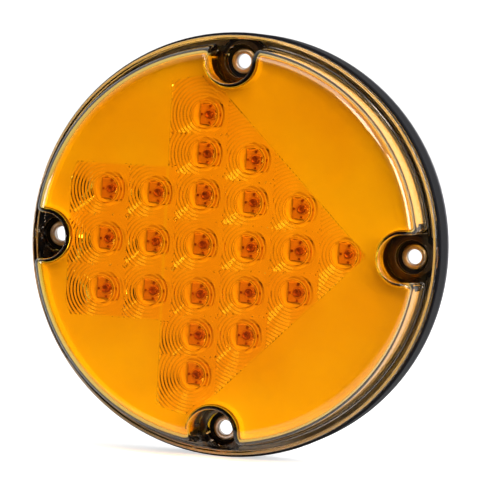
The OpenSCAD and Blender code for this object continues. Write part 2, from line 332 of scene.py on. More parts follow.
def piece_from(bm, name, smooth_angle=radians(30)):
    """Makes an object of a closed bmesh, with its normals outward and its edges crisp."""
    bmesh.ops.recalc_face_normals(bm, faces=bm.faces)
    open_edges = sum(1 for e in bm.edges if len(e.link_faces) != 2)
    if open_edges:
        raise RuntimeError(f"{name} has {open_edges} edges that do not close")
    if bm.calc_volume(signed=True) < 0:
        bmesh.ops.reverse_faces(bm, faces=bm.faces)
    mesh = bpy.data.meshes.new(name)
    bm.to_mesh(mesh)
    bm.free()
    for polygon in mesh.polygons:
        polygon.use_smooth = True
    mesh.set_sharp_from_angle(angle=smooth_angle)
    return new_object(name, mesh)


# ---------------------------------------------------------------- the lens's ring optics

# The arrow's outline in millimetres: half width of the shaft, places of the tail, the back of
# the head and the tip, the circle that cuts the arrow off, and the clearance around a screw
ARROW_SHAFT = 34.5
ARROW_TAIL = -71.0
ARROW_HEAD = -26.0
ARROW_TIP = 66.5
ARROW_LIMIT = 76.55
POCKET_CLEAR = 14.0
# Plain strip along the edge of a diode's cell, and how far the rings can reach
CELL_MARGIN = 0.14
RING_REACH = 34.0
# Depth of the optic into the face's thickness
OPTIC_DEPTH = 0.5
# The double line around a dome: where it starts, where its ridge is and how high that is
LINE_START = 0.12
LINE_RIDGE = 0.42
LINE_HEIGHT = 0.16
DOME_STEPS = 5


class OpticPlan:
    """The arrow on the back of the lens face, divided into one cell for each diode."""

    def __init__(self):
        self.places = [middle(n) for n in LED_NODES]
        columns = sorted({round(x, 3) for x, _ in self.places})
        half = (columns[1] - columns[0]) / 2
        self.lines = []
        s, head, tail, tip = ARROW_SHAFT, ARROW_HEAD, ARROW_TAIL, ARROW_TIP
        for side in (-1, 1):
            self.lines.append(((tail, side * s), (head, side * s)))
            self.lines.append(((head, side * s), (head, side * (tip - head))))
            self.lines.append(((head, side * (tip - head)), (tip, 0)))
        self.lines.append(((tail, -s), (tail, s)))
        for left in columns[:-1]:
            x = left + half
            top = s if left < head else tip - x
            self.lines.append(((x, -top), (x, top)))
            if left < head < x:
                self.lines += [((head, side * s), (x, side * s)) for side in (-1, 1)]
        for x in columns:
            rows = sorted(z for p, z in self.places if abs(p - x) < 0.01)
            for low, high in zip(rows, rows[1:]):
                mid = (low + high) / 2
                start = tail if x == columns[0] else x - half
                if start > head > start - half and abs(mid) > s:
                    start = head
                self.lines.append(((start, mid), (x + half, mid)))
        r = screw_circle()
        self.circles = [(r, 0), (0, r), (-r, 0), (0, -r)]

    def reach(self, place, angle):
        """Distance from a diode to its cell's edge at an angle, and which edge it is."""
        px, py = place
        c, d = cos(angle), sin(angle)
        dot = px * c + py * d
        best = sqrt(dot * dot - px * px - py * py + ARROW_LIMIT ** 2) - dot
        edge = -1
        for k, ((x0, y0), (x1, y1)) in enumerate(self.lines):
            ex, ey = x1 - x0, y1 - y0
            cross = c * ey - d * ex
            if abs(cross) < 1e-12:
                continue
            t = ((x0 - px) * ey - (y0 - py) * ex) / cross
            if 1e-6 < t < best:
                u = ((x0 - px) * d - (y0 - py) * c) / cross
                if -1e-9 <= u <= 1 + 1e-9:
                    best = t
                    edge = k
        for k, (x0, y0) in enumerate(self.circles):
            qx, qy = px - x0, py - y0
            dot = qx * c + qy * d
            root = dot * dot - qx * qx - qy * qy + POCKET_CLEAR ** 2
            if root > 0:
                t = -dot - sqrt(root)
                if 1e-6 < t < best:
                    best = t
                    edge = -2 - k
        return best, edge

    def last_angle(self, low, high, rounds, holds):
        """The last angle between two for which a test of the reach still holds, and the next."""
        for _ in range(rounds):
            mid = (low + high) / 2
            if holds(mid):
                low = mid
            else:
                high = mid
        return low, high

    def angles(self, place, radii):
        """Angles that catch every corner of a cell and every place where a ring meets its edge."""
        base = [2 * pi * i / 64 + 0.011 for i in range(65)]
        hits = [self.reach(place, a) for a in base]
        wanted = list(base[:-1])
        for a, b, (ra, ea), (rb, eb) in zip(base, base[1:], hits, hits[1:]):
            stops = [(a, ra, ea)]
            low = a
            start_edge = ea
            while start_edge != eb:
                low, high = self.last_angle(
                    low, b, 40, lambda at: self.reach(place, at)[1] == start_edge)
                wanted.append(low)
                stops.append((low, self.reach(place, low)[0], start_edge))
                low = high
                start_edge = self.reach(place, high + 1e-9)[1]
                if high > b - 1e-8:
                    break
            stops.append((b, rb, eb))
            for (p, rp, _), (q, rq, _) in zip(stops, stops[1:]):
                for r in radii:
                    if (rp - r) * (rq - r) < 0 and q - p > 1e-6:
                        wanted.append(self.last_angle(
                            p, q, 24, lambda at: (self.reach(place, at)[0] - r) * (rp - r) > 0)[0])
        wanted.sort()
        kept = [wanted[0]]
        for a in wanted[1:]:
            if a - kept[-1] > 0.002:
                kept.append(a)
            elif a not in base:
                kept[-1] = a
        return kept


def ring_rows(lens):
    """Radius and height of the optic's rows from a diode's axis outwards."""
    dome = lens.dome / MM
    top = lens.dome_height / MM
    focus = lens.focus / MM
    pitch = lens.pitch / MM
    riser = lens.riser / MM
    rows = []
    for i in range(DOME_STEPS):
        r = dome * (i + 1) / DOME_STEPS
        rows.append((r, top - r ** 2 / (2 * focus)))
    r = dome + lens.groove / MM
    rows += [(dome + LINE_START, 0.0), (dome + LINE_RIDGE, LINE_HEIGHT), (r, 0.0)]
    while r < RING_REACH:
        high = min(lens.ring_height / MM, pitch * (r + pitch / 2) / focus)
        rows.append((r + riser, high))
        rows.append((r + pitch, 0.0))
        r += pitch
    return rows, top


def section(rows, top, rho):
    """Radius and height along one ray of a cell, the rows cut off at the cell's edge."""
    edge = rho - CELL_MARGIN
    points = []
    last = (0.0, top)
    for i, (r, high) in enumerate(rows):
        if r >= edge - 0.01:
            t = (edge - last[0]) / (r - last[0]) if r > last[0] else 0.0
            points.append((edge, last[1] + (high - last[1]) * t))
            points += [(edge, 0.0)] * (len(rows) - i - 1)
            break
        last = (r, high)
        points.append(last)
    return points + [(rho, 0.0)]


def optic_shell(lens):
    """The ring optics as an open sheet, and the height of its edge."""
    plan = OpticPlan()
    rows, top = ring_rows(lens)
    radii = sorted({r for r, _ in rows})
    base = lens.face / MM - lens.face_wall / MM - OPTIC_DEPTH
    cells = []
    for place in plan.places:
        angles = plan.angles(place, [r + CELL_MARGIN for r in radii])
        rim = []
        columns = []
        for angle in angles:
            rho, _ = plan.reach(place, angle)
            c, d = cos(angle), sin(angle)
            rim.append((place[0] + rho * c, place[1] + rho * d))
            columns.append([(place[0] + r * c, place[1] + r * d, base - high)
                            for r, high in section(rows, top, rho)])
        cells.append((place, rim, columns))
    spots = [p for _, rim, _ in cells for p in rim]
    shell = Shell()
    for place, rim, columns in cells:
        first = len(shell.points)
        shell.points.append((place[0], place[1], base - top))
        index = []
        for column in columns:
            ids = []
            for k, p in enumerate(column):
                if k and hypot(p[0] - column[k - 1][0], p[1] - column[k - 1][1]) < 1e-9 \
                        and abs(p[2] - column[k - 1][2]) < 1e-9:
                    ids.append(ids[-1])
                else:
                    ids.append(len(shell.points))
                    shell.points.append(p)
            index.append(ids)
        for i, here in enumerate(index):
            there = index[(i + 1) % len(index)]
            shell.faces.append((first, there[0], here[0]))
            for k in range(len(here) - 2):
                shell.faces.append((here[k], there[k], there[k + 1], here[k + 1]))
            a, b = rim[i], rim[(i + 1) % len(rim)]
            extra = between(a, b, spots)
            close_rim(shell, here, there, extra, base)
    return shell, base


def between(a, b, spots):
    """The spots that lie strictly between two points of a straight edge, in order."""
    span = hypot(b[0] - a[0], b[1] - a[1])
    if span < 1e-4:
        return []
    ux, uy = (b[0] - a[0]) / span, (b[1] - a[1]) / span
    found = []
    for x, y in spots:
        t = (x - a[0]) * ux + (y - a[1]) * uy
        if 0.002 < t < span - 0.002 and abs((x - a[0]) * uy - (y - a[1]) * ux) < 1e-4:
            found.append((t, x, y))
    found.sort()
    kept = []
    for t, x, y in found:
        if not kept or t - kept[-1][0] > 0.003:
            kept.append((t, x, y))
    return [(x, y) for _, x, y in kept]


def close_rim(shell, here, there, extra, base):
    """Adds the neighbour's points to the last face of a cell's slice."""
    face = [here[-2], there[-2], there[-1]]
    for x, y in reversed(extra):
        face.append(len(shell.points))
        shell.points.append((x, y, base))
    face.append(here[-1])
    shell.faces.append(tuple(face))


def outline_of(shell):
    """The points of an open sheet's one free edge, in order."""
    bm = shell.to_bmesh()
    free = {}
    for edge in bm.edges:
        if len(edge.link_faces) == 1:
            a, b = edge.verts
            free.setdefault(a, []).append(b)
            free.setdefault(b, []).append(a)
    start = next(iter(free))
    chain = [start]
    before = None
    while True:
        here = chain[-1]
        ahead = [v for v in free[here] if v is not before]
        before = here
        if ahead[0] is start or len(chain) > len(free):
            break
        chain.append(ahead[0])
    points = [(v.co.x / MM, v.co.z / MM) for v in chain]
    if len(chain) != len(free):
        raise RuntimeError(f"the optic sheet has {len(free)} free points, {len(chain)} in its edge")
    bm.free()
    return points


def lens_outlines(lens):
    """Radius, notch radius, corner and height of the lens's outlines, outside and inside."""
    top = lens.face / MM
    shoulder = lens.shoulder / MM
    body = lens.body / MM
    draft = lens.draft
    base = lens.flange / MM
    pocket = lens.pocket / MM
    lip = lens.lip / MM
    corner = lens.mouth / MM
    wall = lens.wall / MM
    web = pocket + lens.pocket_wall / MM

    def shoulder_rows(degrees, inset, peak, rounding, notch_r, corner_r):
        """Outlines around the rounded shoulder, with the pocket's lip rounded beside them."""
        middle_h = peak - rounding
        touch = middle_h + rounding * sin(draft)
        centre = body - (touch - base) * tan(draft) - inset - rounding * cos(draft)
        rows = []
        for angle in (max(radians(d), draft) for d in degrees):
            h = middle_h + rounding * sin(angle)
            rise = max(0.0, h - (peak - lip))
            notch = notch_r + lip - sqrt(max(0.0, lip * lip - rise * rise))
            rows.append((centre + rounding * cos(angle), notch, corner_r, h))
        return rows

    outer = shoulder_rows((90, 84, 78, 72, 66, 60, 53, 46, 38, 30, 22, 15, 9.2),
                          0.0, top, shoulder, pocket, corner)
    last = outer[-1][3]
    for part in (0.5, 1.0):
        h = last + (base - last) * part
        outer.append((body - (h - base) * tan(draft), pocket, corner, h))
    inner = [(body - wall, web, corner / 2, lens.foot / MM)]
    inner += shoulder_rows((9.2, 22, 34, 46, 56, 66, 74, 82, 90),
                           wall, top - lens.face_wall / MM, shoulder - wall, web, corner / 2)
    return outer, inner


def add_flange(shell, lens, foot_of_wall):
    """Adds the flange with its bead, the tongue behind it and the four screw holes. Returns the
    outline of the hollow behind the tongue."""
    rim = lens.rim / MM
    bead = rim - 1.6
    flange = lens.flange / MM
    seat = lens.seat / MM
    foot = lens.foot / MM
    hole = lens.hole / MM
    tongue = rim - 2.0
    around = 256
    profile = [(bead, flange), (bead + 0.04, flange + 1.2), (bead + 0.18, flange + 1.54),
               (bead + 0.42, flange + 1.74), (bead + 0.72, flange + 1.8),
               (bead + 1.08, flange + 1.72), (bead + 1.38, flange + 1.48),
               (bead + 1.54, flange + 1.14), (rim, flange + 0.75), (rim, foot + 0.35),
               (rim - 0.12, foot + 0.08), (rim - 0.35, foot), (tongue, foot), (tongue, seat)]
    shell.stack([shell.loop(ring(0, 0, r, around), h) for r, h in profile])
    wall = [(hole + 0.35, flange), (hole + 0.12, flange - 0.08), (hole, flange - 0.35),
            (hole, seat)]
    screws = [middle(n) for n in EYELET_NODES]
    for x, y in screws:
        shell.stack([shell.loop(ring(x, y, r), h) for r, h in wall])
    shell.fill([ring(0, 0, bead, around), foot_of_wall]
               + [ring(x, y, wall[0][0]) for x, y in screws], flange)
    hollow = notched(tongue - 2.0, lens.collar / MM, 0.4)
    shell.fill([ring(0, 0, tongue, around), hollow] + [ring(x, y, hole) for x, y in screws], seat)
    return hollow


def build_lens(lens):
    """The whole moulded lens: face, shoulder, pockets, flange, tongue, collars and ring optics."""
    shell, base = optic_shell(lens)
    arrow = outline_of(shell)
    outer, inner = lens_outlines(lens)
    loops = shell.notches(outer)
    first = outer[0]
    inset = shell.loop(notched(first[0] - 0.3, first[1] + 0.3, first[2] - 0.3), first[3])
    shell.faces.append(tuple(inset))
    shell.stack([inset] + loops)

    hollow = add_flange(shell, lens, notched(*outer[-1][:3]))
    inside = [shell.loop(hollow, lens.seat / MM), shell.loop(hollow, lens.foot / MM)]
    shell.stack(inside + shell.notches(inner))
    inner_top = inner[-1][3]
    shell.stack([shell.loop(arrow, inner_top), shell.loop(arrow, base)])
    shell.fill([notched(*inner[-1][:3]), arrow], inner_top)
    return piece_from(shell.to_bmesh(), "moulded_lens", radians(28))


# ---------------------------------------------------------------- repeated pieces

def turn(shell, profile, count):
    """Adds a solid of revolution around the local axis. Ends on the axis close at a point."""
    loops = []
    for r, h in profile:
        if r > 0:
            loops.append(shell.loop(ring(0, 0, r, count), h))
        else:
            shell.points.append((0.0, 0.0, h))
            loops.append([len(shell.points) - 1] * count)
    shell.stack(loops)


def prism(shell, outline, low, high, inset=0.0):
    """Adds an upright prism with its front edge drawn in by the inset."""
    loops = [shell.loop(outline, low), shell.loop(outline, high - inset)]
    if inset:
        cx = sum(x for x, _ in outline) / len(outline)
        cy = sum(y for _, y in outline) / len(outline)
        small = 1 - inset / max(hypot(x - cx, y - cy) for x, y in outline)
        top = [(cx + (x - cx) * small, cy + (y - cy) * small) for x, y in outline]
        loops.append(shell.loop(top, high))
    shell.stack(loops)
    shell.faces.append(tuple(loops[0]))
    shell.faces.append(tuple(loops[-1]))


def repeat(name, source, places, finish):
    """Copies one piece to every place with geometry nodes and keeps the result as a plain mesh."""
    marks = bpy.data.meshes.new(name + "_places")
    marks.from_pydata([(x * MM, 0.0, z * MM) for x, z in places], [], [])
    holder = new_object(name + "_holder", marks)
    tree = bpy.data.node_groups.new(name + "_layout", "GeometryNodeTree")
    face = tree.interface
    inputs = {label: face.new_socket(label, in_out="INPUT", socket_type="NodeSocket" + kind)
              for label, kind in (("Places", "Geometry"), ("Piece", "Object"),
                                  ("Finish", "Material"))}
    face.new_socket("Pieces", in_out="OUTPUT", socket_type="NodeSocketGeometry")
    start, info, copies, real, paint, end = [tree.nodes.new(kind) for kind in (
        "NodeGroupInput", "GeometryNodeObjectInfo", "GeometryNodeInstanceOnPoints",
        "GeometryNodeRealizeInstances", "GeometryNodeSetMaterial", "NodeGroupOutput")]
    for giver, given, taker, taken in (
            (start, "Places", copies, "Points"), (start, "Piece", info, "Object"),
            (info, "Geometry", copies, "Instance"), (copies, "Instances", real, "Geometry"),
            (real, "Geometry", paint, "Geometry"), (start, "Finish", paint, "Material"),
            (paint, "Geometry", end, "Pieces")):
        tree.links.new(giver.outputs[given], taker.inputs[taken])
    layout = holder.modifiers.new(name, "NODES")
    layout.node_group = tree
    layout[inputs["Piece"].identifier] = source
    layout[inputs["Finish"].identifier] = finish
    solved = holder.evaluated_get(bpy.context.evaluated_depsgraph_get())
    mesh = bpy.data.meshes.new_from_object(solved)
    mesh.name = name
    bpy.data.objects.remove(holder)
    bpy.data.objects.remove(source)
    return new_object(name, mesh)


def build_diodes(diode):
    """Bodies, metal frames and domes of all the diodes."""
    foot = height(LED_NODES[0], front=False)
    top = foot + diode.body / MM
    peak = height(LED_NODES[0])
    half = diode.side / 2 / MM
    cut = diode.cut / MM
    places = [middle(n) for n in LED_NODES]

    body = Shell()
    prism(body, [(-half, -half), (half, -half), (half, half - cut), (half - cut, half),
                 (-half, half)], foot, top, 0.35)
    source = piece_from(body.to_bmesh(), "diode_body_form")
    bodies = repeat("led_bodies", source, places, diode_epoxy(diode))

    metal = Shell()
    tab = diode.tab / 2 / MM
    away = diode.tab_place / MM
    for x, y in ((away, 0), (0, away), (-away, 0), (0, -away)):
        square = [(x - tab, y - tab), (x + tab, y - tab), (x + tab, y + tab), (x - tab, y + tab)]
        prism(metal, square, top - 0.1, top + 0.35, 0.12)
    turn(metal, [(1.25, top + 0.06), (1.25, top + 0.5), (1.1, top + 0.55), (0.5, top + 0.2),
                 (0.0, top + 0.18)], 24)
    turn(metal, [(0.0, top + 0.06), (1.25, top + 0.06)], 24)
    source = piece_from(metal.to_bmesh(), "diode_frame_form")
    frames = repeat("led_frames", source, places, diode_metal(diode))

    dome = Shell()
    r = diode.dome / MM
    low = asin((top + 0.02 - (peak - r)) / r)
    profile = [(0.0, peak)]
    profile += [(r * cos(a), peak - r + r * sin(a))
                for a in (pi / 2 - (pi / 2 - low) * i / 12 for i in range(1, 13))]
    turn(dome, profile + [(0.0, top + 0.02)], 40)
    source = piece_from(dome.to_bmesh(), "diode_dome_form", radians(50))
    domes = repeat("led_domes", source, places, clear_dome())
    return bodies, frames, domes


def squared(x, y, half, count):
    """A square with slightly rounded corners, with a point at each of evenly spaced angles."""
    points = []
    for i in range(count):
        a = 2 * pi * i / count
        reach = half / (abs(cos(a)) ** 12 + abs(sin(a)) ** 12) ** (1 / 12)
        points.append((x + reach * cos(a), y + reach * sin(a)))
    return points


def build_reflector(reflector, diode):
    """The white tray: plate, dishes around the diodes, raised rim and outer skirt."""
    front = height("reflector_plate")
    back = front - reflector.skin / MM
    edge = reflector.edge / MM
    notch = reflector.notch / MM
    peak = reflector.rise / MM
    dish = reflector.dish / MM
    half = diode.side / 2 / MM + reflector.gap / MM
    around = 40
    shell = Shell()
    flat = (edge - 2.4, notch + 1.5, 1.6)
    under = (edge - 1.2, notch + 1.1, 1.6)
    sizes = [(*flat, front), (edge - 1.5, notch + 0.75, 1.6, front + 0.35),
             (edge - 1.0, notch + 0.3, 1.6, front + 1.2),
             (edge - 0.4, notch - 0.1, 1.6, peak), (edge + 0.12, notch - 0.5, 1.6, peak),
             (edge, notch, 1.6, front - 0.2), (edge, notch, 1.6, back - 1.4),
             (*under, back - 1.4), (*under, back)]
    shell.stack(shell.notches(sizes))
    fronts = [notched(*flat)]
    backs = [notched(*under)]
    for node in LED_NODES:
        x, y = middle(node)
        steps = [(ring(x, y, dish, around), front), (ring(x, y, dish - 0.15, around), front - 0.18),
                 (squared(x, y, half, around), front - 1.3),
                 (squared(x, y, half, around), front - 1.9),
                 (ring(x, y, dish, around), front - 1.9), (ring(x, y, dish, around), back)]
        shell.stack([shell.loop(outline, h) for outline, h in steps])
        fronts.append(steps[0][0])
        backs.append(steps[-1][0])
    shell.fill(fronts, front)
    shell.fill(backs, back)
    low = height("reflector_plate", front=False) + 0.1
    start = asin((notch + 1.3) / edge) + 0.01
    for turns in range(4):
        a, b = start + turns * pi / 2, (turns + 1) * pi / 2 - start
        outline = arc(0, 0, edge - 0.02, a, b, 40) + arc(0, 0, edge - 1.18, b, a, 40)
        prism(shell, outline, low, back - 1.3)
    return piece_from(shell.to_bmesh(), "white_reflector", radians(35))


def build_bed(lens):
    """The ring of sealant that the lens flange is bedded on, in view through the flange."""
    rim = lens.rim / MM
    low = lens.foot / MM - 0.36
    high = lens.foot / MM - 0.02
    around = 192
    shell = Shell()
    profile = [(rim - 1.75, low), (rim - 0.25, low), (rim - 0.12, low + 0.1),
               (rim - 0.14, high - 0.06), (rim - 0.25, high), (rim - 1.7, high)]
    turn(shell, profile + profile[:1], around)
    return piece_from(shell.to_bmesh(), "flange_sealant")


def build_eyelets(eyelet):
    """The four rolled eyelets."""
    bore = eyelet.bore / MM
    barrel = eyelet.barrel / MM
    lip = eyelet.flange / MM
    seat = height("eyelet_right") - 1.0
    back = height("eyelet_right", front=False)
    shell = Shell()
    profile = [(bore, seat + 0.1), (bore + 0.02, seat + 0.45), (bore + 0.12, seat + 0.72),
               (bore + 0.32, seat + 0.91), (bore + 0.62, seat + 0.99), (bore + 0.95, seat + 0.97),
               (lip - 0.75, seat + 0.83), (lip - 0.35, seat + 0.62), (lip - 0.1, seat + 0.38),
               (lip, seat + 0.14), (lip - 0.06, seat + 0.02), (lip - 0.2, seat),
               (barrel, seat), (barrel, back + 0.5), (barrel + 0.8, back + 0.48),
               (barrel + 0.9, back + 0.32), (barrel + 0.8, back + 0.12), (barrel + 0.4, back),
               (bore + 0.3, back), (bore + 0.08, back + 0.1), (bore, back + 0.35)]
    turn(shell, profile + profile[:1], eyelet.sides)
    source = piece_from(shell.to_bmesh(), "eyelet_form", radians(50))
    places = [middle(n) for n in EYELET_NODES]
    return repeat("rolled_eyelets", source, places, eyelet_metal(eyelet))


# ---------------------------------------------------------------- shader maths

class Value:
    """A number socket. Each operator adds one Math node."""

    def __init__(self, finish, socket):
        self.finish = finish
        self.socket = socket

    def __add__(self, other):
        return self.finish.maths("ADD", self, other)

    def __radd__(self, other):
        return self.finish.maths("ADD", other, self)

    def __sub__(self, other):
        return self.finish.maths("SUBTRACT", self, other)

    def __rsub__(self, other):
        return self.finish.maths("SUBTRACT", other, self)

    def __mul__(self, other):
        return self.finish.maths("MULTIPLY", self, other)

    def __rmul__(self, other):
        return self.finish.maths("MULTIPLY", other, self)

    def __abs__(self):
        return self.finish.maths("ABSOLUTE", self)

    def least(self, other):
        return self.finish.maths("MINIMUM", self, other)

    def most(self, other):
        return self.finish.maths("MAXIMUM", self, other)

    def ramp(self, low, high):
        """Goes smoothly from 0 at low to 1 at high."""
        node = self.finish.node("ShaderNodeMapRange", {"interpolation_type": "SMOOTHSTEP"},
                                {"Value": self, "From Min": low, "From Max": high})
        return Value(self.finish, node.outputs["Result"])


class Finish:
    """Builds one material, or the world, from nodes."""

    def __init__(self, owner):
        owner.use_nodes = True
        self.owner = owner
        self.tree = owner.node_tree
        self.tree.nodes.clear()
        self.spot = None

    def node(self, kind, settings=None, sockets=None):
        """Adds a node: its settings first, then the values or links of its sockets."""
        node = self.tree.nodes.new(kind)
        for name, value in (settings or {}).items():
            setattr(node, name, value)
        for name, value in (sockets or {}).items():
            source = value.socket if isinstance(value, Value) else value
            if isinstance(source, bpy.types.NodeSocket):
                self.tree.links.new(source, node.inputs[name])
            elif isinstance(source, tuple) and len(source) == 3 \
                    and node.inputs[name].type == "RGBA":
                node.inputs[name].default_value = (*source, 1.0)
            else:
                node.inputs[name].default_value = source
        return node

    def maths(self, operation, *values):
        node = self.node("ShaderNodeMath", {"operation": operation}, dict(enumerate(values)))
        return Value(self, node.outputs[0])

    def place(self):
        """Object coordinates as one vector socket."""
        if self.spot is None:
            self.spot = self.node("ShaderNodeTexCoord").outputs["Object"]
        return self.spot

    def axes(self):
        """Object coordinates as three numbers, in metres."""
        parts = self.node("ShaderNodeSeparateXYZ", None, {0: self.place()})
        return [Value(self, parts.outputs[k]) for k in range(3)]

    def stretched(self, scale):
        """Object coordinates scaled by axis, for brushed and drawn surfaces."""
        node = self.node("ShaderNodeMapping", None, {"Vector": self.place(), "Scale": scale})
        return node.outputs["Vector"]

    def upright(self):
        """Object coordinates turned so that a flat pattern lies on the lamp's face."""
        node = self.node("ShaderNodeMapping", None,
                         {"Vector": self.place(), "Rotation": (pi / 2, 0.0, 0.0)})
        return node.outputs["Vector"]

    def noise(self, scale, detail=3.0, roughness=0.5, vector=None):
        node = self.node("ShaderNodeTexNoise", None,
                         {"Vector": vector or self.place(), "Scale": scale, "Detail": detail,
                          "Roughness": roughness})
        return Value(self, node.outputs["Fac"])

    def cells(self, scale):
        node = self.node("ShaderNodeTexVoronoi", None, {"Vector": self.place(), "Scale": scale})
        return Value(self, node.outputs["Distance"])

    def blend(self, factor, first, second):
        """Mixes two colours."""
        node = self.node("ShaderNodeMix", {"data_type": "RGBA"},
                         {0: factor, 6: first, 7: second})
        return node.outputs[2]

    def ray(self, kind):
        """1 for one kind of ray and 0 for the others."""
        return Value(self, self.node("ShaderNodeLightPath").outputs[kind])

    def mix(self, factor, first, second):
        """Mixes two shaders."""
        return self.node("ShaderNodeMixShader", None, {0: factor, 1: first, 2: second}).outputs[0]

    def principled(self, base, rough, relief, strength, more=None):
        """A Principled shader with a bump, the relief in metres."""
        bump = self.node("ShaderNodeBump", None,
                         {"Height": relief, "Distance": 1.0, "Strength": strength})
        sockets = {"Base Color": base, "Roughness": rough, "Normal": bump.outputs["Normal"]}
        return self.node("ShaderNodeBsdfPrincipled", None, {**sockets, **(more or {})}).outputs[0]

    def surface(self, base, rough, relief, strength, more=None):
        """Ends the material with one Principled shader."""
        self.output(self.principled(base, rough, relief, strength, more))
        return self.owner

    def clear(self, base, rough, relief, strength, refraction, passed):
        """Ends the material with a clear shader that lets light through in one colour."""
        glass = self.principled(base, rough, relief, strength,
                                {"IOR": refraction, "Transmission Weight": 1.0})
        through = self.node("ShaderNodeBsdfTransparent", None, {"Color": passed}).outputs[0]
        self.output(self.mix(self.ray("Is Shadow Ray"), glass, through))
        return self.owner

    def output(self, shader, kind="ShaderNodeOutputMaterial"):
        self.node(kind, None, {"Surface": shader})


def new_finish(name):
    return Finish(bpy.data.materials.new(name))


# ---------------------------------------------------------------- finishes

def amber_lens(lens):
    """Clear amber polycarbonate. Lamps light what is behind it."""
    f = new_finish("amber_lens")
    x, y, z = f.axes()
    flow = f.noise(22.0, 2.0, 0.5)
    tint = tuple(lens.tint)
    deep = (tint[0] * 0.97, tint[1] * 0.9, tint[2] * 0.8)
    pale = (min(1.0, tint[0] * 1.01), tint[1] * 1.05, tint[2] * 1.2)
    base = f.blend(flow.ramp(0.3, 0.7), deep, pale)
    side = abs(z) - ARROW_SHAFT * MM
    shaft = side.most(ARROW_TAIL * MM - x).most(x - ARROW_HEAD * MM)
    head = (ARROW_HEAD * MM - x).most((abs(z) + x - ARROW_TIP * MM) * 0.707)
    radius = f.maths("SQRT", x * x + z * z)
    edge = shaft.least(head).most(radius - ARROW_LIMIT * MM)
    arrow = 1.0 - edge.ramp(-0.0012, 0.0002)
    base = f.blend(arrow * y.ramp(-0.0357, -0.0353), base, tuple(lens.deep))
    thin = radius.ramp(0.0845, 0.0895) * y.ramp(-0.0365, -0.031)
    base = f.blend(thin, base, (0.99, 0.84, 0.7))

    def panel(x0, x1, z0, z1):
        """A plain raised rectangle on the face."""
        inside = (abs(x - (x0 + x1) / 2) - (x1 - x0) / 2).most(abs(z - (z0 + z1) / 2)
                                                              - (z1 - z0) / 2)
        return 1.0 - inside.ramp(-0.00015, 0.00015)

    upper = panel(-0.0253, 0.017, 0.0145, 0.0255)
    lower = panel(-0.0107, 0.0138, -0.0305, -0.0207)
    gate = (1.0 - abs(radius - 0.0013).ramp(0.0001, 0.0004)) * 0.6
    front = 1.0 - y.ramp(-0.0379, -0.0376)
    swirl = f.noise(9.0, 1.5, 0.4)
    relief = (upper + lower + gate) * front * 0.00022 + swirl * 0.0005
    rough = 0.018 + f.noise(60.0) * 0.014
    return f.clear(base, rough, relief, 0.35, 1.58, tuple(sqrt(c) for c in tint))


def moulded_black():
    """Black moulded plastic with a fine grain and a little dust in it."""
    f = new_finish("black_housing")
    grain = f.noise(2600.0, 2.0, 0.6)
    patch = f.noise(38.0, 4.0, 0.6)
    dust = f.noise(900.0, 2.0, 0.7).ramp(0.68, 0.8)
    base = f.blend(patch.ramp(0.3, 0.75), (0.006, 0.006, 0.008), (0.012, 0.012, 0.015))
    base = f.blend(dust * 0.35, base, (0.09, 0.085, 0.085))
    return f.surface(base, 0.5 + patch * 0.2, grain * 0.00004 + patch * 0.00005, 0.7,
                     {"Specular IOR Level": 0.07})


def foam():
    """Closed-cell foam, duller and greyer than the housing."""
    f = new_finish("foam_gasket")
    pores = f.cells(1500.0)
    patch = f.noise(60.0, 3.0)
    base = f.blend(pores.ramp(0.1, 0.7), (0.032, 0.031, 0.036), (0.085, 0.083, 0.095))
    base = f.blend(patch * 0.4, base, (0.06, 0.058, 0.068))
    return f.surface(base, 0.85 + patch * 0.12, pores * 0.00022, 0.8)


def silicone():
    """Milky sealant with small bubbles."""
    f = new_finish("sealant")
    bubbles = f.cells(1100.0).ramp(0.05, 0.25)
    patch = f.noise(90.0, 3.0)
    base = f.blend(patch, (0.55, 0.54, 0.5), (0.72, 0.71, 0.68))
    base = f.blend(bubbles, (0.42, 0.41, 0.38), base)
    return f.surface(base, 0.32 + patch * 0.15, patch * 0.0004 + bubbles * 0.00006, 0.6)


def rubber():
    """Dark seal rubber with a matt bloom."""
    f = new_finish("seal_rubber")
    bloom = f.noise(240.0, 4.0, 0.65)
    base = f.blend(bloom.ramp(0.35, 0.7), (0.016, 0.015, 0.016), (0.05, 0.047, 0.047))
    return f.surface(base, 0.62 + bloom * 0.2, f.noise(2200.0, 2.0) * 0.00005, 0.7)


def satin_white():
    """White reflecting plastic with faint flow marks."""
    f = new_finish("reflector_white")
    flow = f.noise(30.0, 3.0, 0.5)
    specks = f.noise(1600.0, 2.0).ramp(0.7, 0.85)
    base = f.blend(flow, (0.86, 0.855, 0.84), (0.9, 0.9, 0.89))
    base = f.blend(specks * 0.3, base, (0.7, 0.69, 0.66))
    return f.surface(base, 0.4 + flow * 0.15, flow * 0.0003, 0.5)


def white_mask():
    """White solder mask over copper tracks."""
    f = new_finish("board_white")
    tracks = f.node("ShaderNodeTexBrick", {"offset": 0.5, "squash": 1.0},
                    {"Vector": f.upright(), "Scale": 90.0, "Mortar Size": 0.018,
                     "Mortar Smooth": 0.1, "Brick Width": 0.7, "Row Height": 0.35})
    track = Value(f, tracks.outputs["Fac"])
    patch = f.noise(70.0, 3.0)
    base = f.blend(patch, (0.72, 0.74, 0.7), (0.8, 0.81, 0.77))
    base = f.blend(track * 0.55, base, (0.55, 0.62, 0.5))
    return f.surface(base, 0.35 + patch * 0.2, track * 0.00004 + patch * 0.00003, 0.8)


